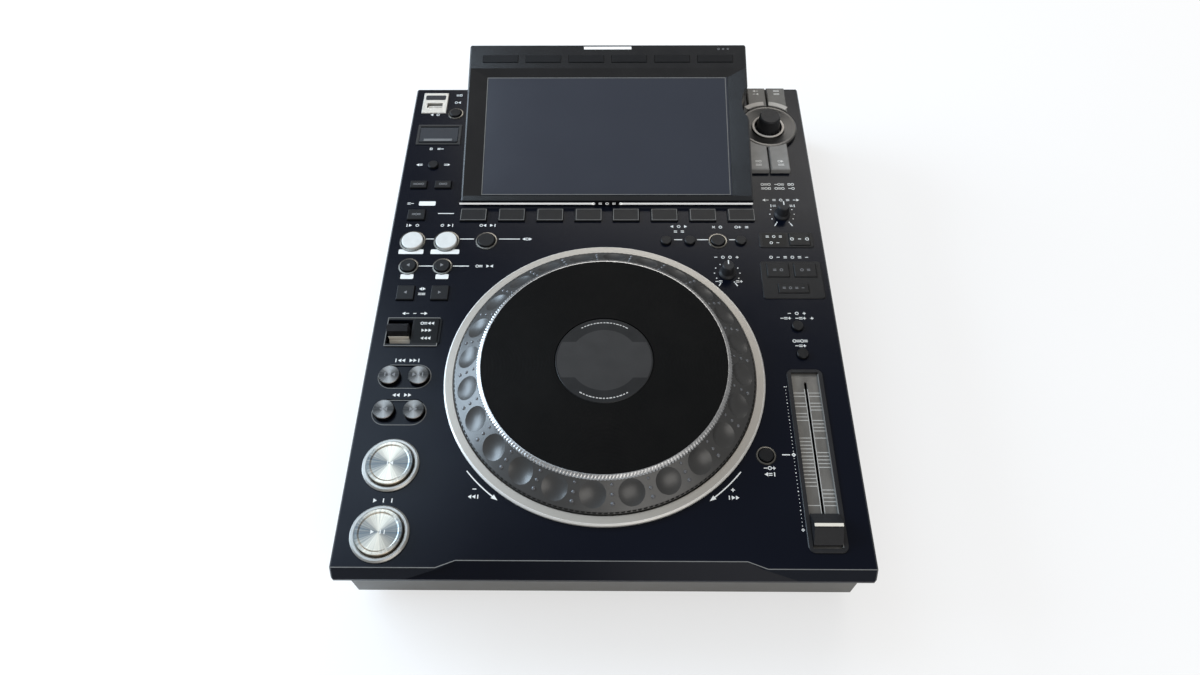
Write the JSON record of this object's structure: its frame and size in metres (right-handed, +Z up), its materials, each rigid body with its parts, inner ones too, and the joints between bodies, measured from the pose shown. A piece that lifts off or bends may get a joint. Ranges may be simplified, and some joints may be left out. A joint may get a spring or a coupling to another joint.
{
  "type": "tabletop dj media player",
  "caption": "Tabletop DJ media player with a large jog wheel, tilted screen, tempo fader, press keys, turning knobs, card door and rear sockets.",
  "frame": {"origin": "on the floor under the middle of the whole outline", "axes": "+X to the user's right, +Y to the back with the sockets, +Z up"},
  "size_m": [0.329, 0.453, 0.118],
  "materials": {
    "case_black": "satin gloss, very dark navy black",
    "case_steel": "fine satin paint, warm grey",
    "foot_rubber": "matt",
    "screen_plastic": "semi gloss",
    "screen_glass": "polished dark glass over a display that is off",
    "ring_metal": "bright satin",
    "dial_plastic": "satin with fine rings",
    "display_glass": "smoked lens",
    "key_dark": "satin",
    "key_clear": "frosted translucent grey",
    "key_white": "frosted white",
    "brushed_button": "radially brushed",
    "socket_metal": "bright plated",
    "socket_black": "matt black"
  },
  "bodies": {
    "deck": {"upper_case": "case_black", "lower_case": "case_steel", "feet": "foot_rubber", "screen_housing": "screen_plastic", "screen_glass": "screen_glass", "jog_ring": "ring_metal", "jog_display": "display_glass", "selector_dish": "key_dark", "fader_frame": "key_dark", "button_rings": "ring_metal", "key_frames": "key_dark", "usb_socket": "socket_metal", "card_bay": "socket_black", "mains_inlet": "socket_black", "rear_sockets": "socket_black"},
    "jog_dial": {"jog_dial": "dial_plastic"},
    "selector_shaft": {"selector_shaft": "socket_metal"},
    "selector_knob": {"selector_knob": "key_dark"},
    "vinyl_knob": {"vinyl_knob": "key_dark"},
    "jog_adjust_knob": {"jog_adjust_knob": "key_dark"},
    "fader_cap": {"fader_cap": "key_dark"},
    "direction_lever": {"direction_lever": "key_dark"},
    "card_door": {"card_door": "key_dark"},
    "power_rocker": {"power_rocker": "key_dark"},
    "cue_button": {"cue_button": "brushed_button"},
    "play_button": {"play_button": "brushed_button"},
    "track_back": {"track_back": "key_dark"},
    "track_next": {"track_next": "key_dark"},
    "search_back": {"search_back": "key_dark"},
    "search_next": {"search_next": "key_dark"},
    "loop_in": {"loop_in": "key_white"},
    "loop_out": {"loop_out": "key_white"},
    "reloop": {"reloop": "key_dark"},
    "beat_loop_half": {"beat_loop_half": "key_dark"},
    "beat_loop_double": {"beat_loop_double": "key_dark"},
    "beat_jump_back": {"beat_jump_back": "key_dark"},
    "beat_jump_next": {"beat_jump_next": "key_dark"},
    "slip_key": {"slip_key": "key_dark"},
    "quantize_key": {"quantize_key": "key_dark"},
    "time_key": {"time_key": "key_dark"},
    "time_mode": {"time_mode": "key_dark"},
    "media_stop": {"media_stop": "key_dark"},
    "call_back": {"call_back": "key_dark"},
    "call_next": {"call_next": "key_dark"},
    "delete_button": {"delete_button": "key_dark"},
    "memory_button": {"memory_button": "key_dark"},
    "mode_key": {"mode_key": "key_dark"},
    "sync_key": {"sync_key": "key_dark"},
    "master_key": {"master_key": "key_dark"},
    "tone_key": {"tone_key": "key_dark"},
    "tempo_range": {"tempo_range": "key_dark"},
    "tempo_hold": {"tempo_hold": "key_dark"},
    "tempo_reset": {"tempo_reset": "key_dark"},
    "menu_key": {"menu_key": "key_clear"},
    "tag_key": {"tag_key": "key_clear"},
    "filter_key": {"filter_key": "key_clear"},
    "shortcut_key": {"shortcut_key": "key_clear"},
    "hot_cues_left": {"hot_cues_left": "key_dark"},
    "hot_cues_right": {"hot_cues_right": "key_dark"},
    "strip_keys": {"strip_keys": "key_dark"}
  },
  "joints": [
    {"name": "jog_turn", "type": "hinge", "parent": "deck", "child": "jog_dial", "pos_m": [0, -0.087, 0.08], "axis": [0, 0, 1], "continuous": true},
    {"name": "selector_press", "type": "slide", "parent": "deck", "child": "selector_shaft", "axis": [0, 0, -1], "range_m": [0, 0.0012], "stiffness_N_per_m": 800, "springref_m": -0.001},
    {"name": "selector_turn", "type": "hinge", "parent": "selector_shaft", "child": "selector_knob", "pos_m": [0.1342, 0.1492, 0.08], "axis": [0, 0, 1], "continuous": true},
    {"name": "vinyl_knob_turn", "type": "hinge", "parent": "deck", "child": "vinyl_knob", "pos_m": [0.1364, 0.0564, 0.078], "axis": [0, 0, 1], "range_deg": [-140, 140]},
    {"name": "jog_adjust_knob_turn", "type": "hinge", "parent": "deck", "child": "jog_adjust_knob", "pos_m": [0.09, -0.0007, 0.078], "axis": [0, 0, 1], "range_deg": [-140, 140]},
    {"name": "tempo_slide", "type": "slide", "parent": "deck", "child": "fader_cap", "axis": [0, 1, 0], "range_m": [0, 0.1004]},
    {"name": "direction_tilt", "type": "hinge", "parent": "deck", "child": "direction_lever", "pos_m": [-0.1452, -0.0533, 0.063], "axis": [1, 0, 0], "range_deg": [-12, 12]},
    {"name": "card_door_lift", "type": "hinge", "parent": "deck", "child": "card_door", "pos_m": [-0.1393, 0.1507, 0.0736], "axis": [-1, 0, 0], "range_deg": [0, 100]},
    {"name": "power_rock", "type": "hinge", "parent": "deck", "child": "power_rocker", "pos_m": [-0.084, 0.2125, 0.027], "axis": [1, 0, 0], "range_deg": [0, 14]},
    {"name": "cue_button_press", "type": "slide", "parent": "deck", "child": "cue_button", "axis": [0, 0, -1], "range_m": [0, 0.0015], "stiffness_N_per_m": 800, "springref_m": -0.001},
    {"name": "play_button_press", "type": "slide", "parent": "deck", "child": "play_button", "axis": [0, 0, -1], "range_m": [0, 0.0015], "stiffness_N_per_m": 800, "springref_m": -0.001},
    {"name": "track_back_press", "type": "slide", "parent": "deck", "child": "track_back", "axis": [0, 0, -1], "range_m": [0, 0.0012], "stiffness_N_per_m": 800, "springref_m": -0.001},
    {"name": "track_next_press", "type": "slide", "parent": "deck", "child": "track_next", "axis": [0, 0, -1], "range_m": [0, 0.0012], "stiffness_N_per_m": 800, "springref_m": -0.001},
    {"name": "search_back_press", "type": "slide", "parent": "deck", "child": "search_back", "axis": [0, 0, -1], "range_m": [0, 0.0012], "stiffness_N_per_m": 800, "springref_m": -0.001},
    {"name": "search_next_press", "type": "slide", "parent": "deck", "child": "search_next", "axis": [0, 0, -1], "range_m": [0, 0.0012], "stiffness_N_per_m": 800, "springref_m": -0.001},
    {"name": "loop_in_press", "type": "slide", "parent": "deck", "child": "loop_in", "axis": [0, 0, -1], "range_m": [0, 0.0012], "stiffness_N_per_m": 800, "springref_m": -0.001},
    {"name": "loop_out_press", "type": "slide", "parent": "deck", "child": "loop_out", "axis": [0, 0, -1], "range_m": [0, 0.0012], "stiffness_N_per_m": 800, "springref_m": -0.001},
    {"name": "reloop_press", "type": "slide", "parent": "deck", "child": "reloop", "axis": [0, 0, -1], "range_m": [0, 0.0012], "stiffness_N_per_m": 800, "springref_m": -0.001},
    {"name": "beat_loop_half_press", "type": "slide", "parent": "deck", "child": "beat_loop_half", "axis": [0, 0, -1], "range_m": [0, 0.0012], "stiffness_N_per_m": 800, "springref_m": -0.001},
    {"name": "beat_loop_double_press", "type": "slide", "parent": "deck", "child": "beat_loop_double", "axis": [0, 0, -1], "range_m": [0, 0.0012], "stiffness_N_per_m": 800, "springref_m": -0.001},
    {"name": "beat_jump_back_press", "type": "slide", "parent": "deck", "child": "beat_jump_back", "axis": [0, 0, -1], "range_m": [0, 0.0012], "stiffness_N_per_m": 800, "springref_m": -0.001},
    {"name": "beat_jump_next_press", "type": "slide", "parent": "deck", "child": "beat_jump_next", "axis": [0, 0, -1], "range_m": [0, 0.0012], "stiffness_N_per_m": 800, "springref_m": -0.001},
    {"name": "slip_key_press", "type": "slide", "parent": "deck", "child": "slip_key", "axis": [0, 0, -1], "range_m": [0, 0.0012], "stiffness_N_per_m": 800, "springref_m": -0.001},
    {"name": "quantize_key_press", "type": "slide", "parent": "deck", "child": "quantize_key", "axis": [0, 0, -1], "range_m": [0, 0.0012], "stiffness_N_per_m": 800, "springref_m": -0.001},
    {"name": "time_key_press", "type": "slide", "parent": "deck", "child": "time_key", "axis": [0, 0, -1], "range_m": [0, 0.0012], "stiffness_N_per_m": 800, "springref_m": -0.001},
    {"name": "time_mode_press", "type": "slide", "parent": "deck", "child": "time_mode", "axis": [0, 0, -1], "range_m": [0, 0.0012], "stiffness_N_per_m": 800, "springref_m": -0.001},
    {"name": "media_stop_press", "type": "slide", "parent": "deck", "child": "media_stop", "axis": [0, 0, -1], "range_m": [0, 0.0012], "stiffness_N_per_m": 800, "springref_m": -0.001},
    {"name": "call_back_press", "type": "slide", "parent": "deck", "child": "call_back", "axis": [0, 0, -1], "range_m": [0, 0.0012], "stiffness_N_per_m": 800, "springref_m": -0.001},
    {"name": "call_next_press", "type": "slide", "parent": "deck", "child": "call_next", "axis": [0, 0, -1], "range_m": [0, 0.0012], "stiffness_N_per_m": 800, "springref_m": -0.001},
    {"name": "delete_button_press", "type": "slide", "parent": "deck", "child": "delete_button", "axis": [0, 0, -1], "range_m": [0, 0.0012], "stiffness_N_per_m": 800, "springref_m": -0.001},
    {"name": "memory_button_press", "type": "slide", "parent": "deck", "child": "memory_button", "axis": [0, 0, -1], "range_m": [0, 0.0012], "stiffness_N_per_m": 800, "springref_m": -0.001},
    {"name": "mode_key_press", "type": "slide", "parent": "deck", "child": "mode_key", "axis": [0, 0, -1], "range_m": [0, 0.0012], "stiffness_N_per_m": 800, "springref_m": -0.001},
    {"name": "sync_key_press", "type": "slide", "parent": "deck", "child": "sync_key", "axis": [0, 0, -1], "range_m": [0, 0.0012], "stiffness_N_per_m": 800, "springref_m": -0.001},
    {"name": "master_key_press", "type": "slide", "parent": "deck", "child": "master_key", "axis": [0, 0, -1], "range_m": [0, 0.0012], "stiffness_N_per_m": 800, "springref_m": -0.001},
    {"name": "tone_key_press", "type": "slide", "parent": "deck", "child": "tone_key", "axis": [0, 0, -1], "range_m": [0, 0.0012], "stiffness_N_per_m": 800, "springref_m": -0.001},
    {"name": "tempo_range_press", "type": "slide", "parent": "deck", "child": "tempo_range", "axis": [0, 0, -1], "range_m": [0, 0.0012], "stiffness_N_per_m": 800, "springref_m": -0.001},
    {"name": "tempo_hold_press", "type": "slide", "parent": "deck", "child": "tempo_hold", "axis": [0, 0, -1], "range_m": [0, 0.0012], "stiffness_N_per_m": 800, "springref_m": -0.001},
    {"name": "tempo_reset_press", "type": "slide", "parent": "deck", "child": "tempo_reset", "axis": [0, 0, -1], "range_m": [0, 0.0012], "stiffness_N_per_m": 800, "springref_m": -0.001},
    {"name": "menu_key_press", "type": "slide", "parent": "deck", "child": "menu_key", "axis": [0, 0, -1], "range_m": [0, 0.0012], "stiffness_N_per_m": 800, "springref_m": -0.001},
    {"name": "tag_key_press", "type": "slide", "parent": "deck", "child": "tag_key", "axis": [0, 0, -1], "range_m": [0, 0.0012], "stiffness_N_per_m": 800, "springref_m": -0.001},
    {"name": "filter_key_press", "type": "slide", "parent": "deck", "child": "filter_key", "axis": [0, 0, -1], "range_m": [0, 0.0012], "stiffness_N_per_m": 800, "springref_m": -0.001},
    {"name": "shortcut_key_press", "type": "slide", "parent": "deck", "child": "shortcut_key", "axis": [0, 0, -1], "range_m": [0, 0.0012], "stiffness_N_per_m": 800, "springref_m": -0.001},
    {"name": "hot_cues_left_press", "type": "slide", "parent": "deck", "child": "hot_cues_left", "axis": [0, 0, -1], "range_m": [0, 0.0012], "stiffness_N_per_m": 800, "springref_m": -0.001},
    {"name": "hot_cues_right_press", "type": "slide", "parent": "deck", "child": "hot_cues_right", "axis": [0, 0, -1], "range_m": [0, 0.0012], "stiffness_N_per_m": 800, "springref_m": -0.001},
    {"name": "strip_keys_press", "type": "slide", "parent": "deck", "child": "strip_keys", "axis": [0, 0.2691, -0.9631], "range_m": [0, 0.0008], "stiffness_N_per_m": 800, "springref_m": -0.001}
  ]
}
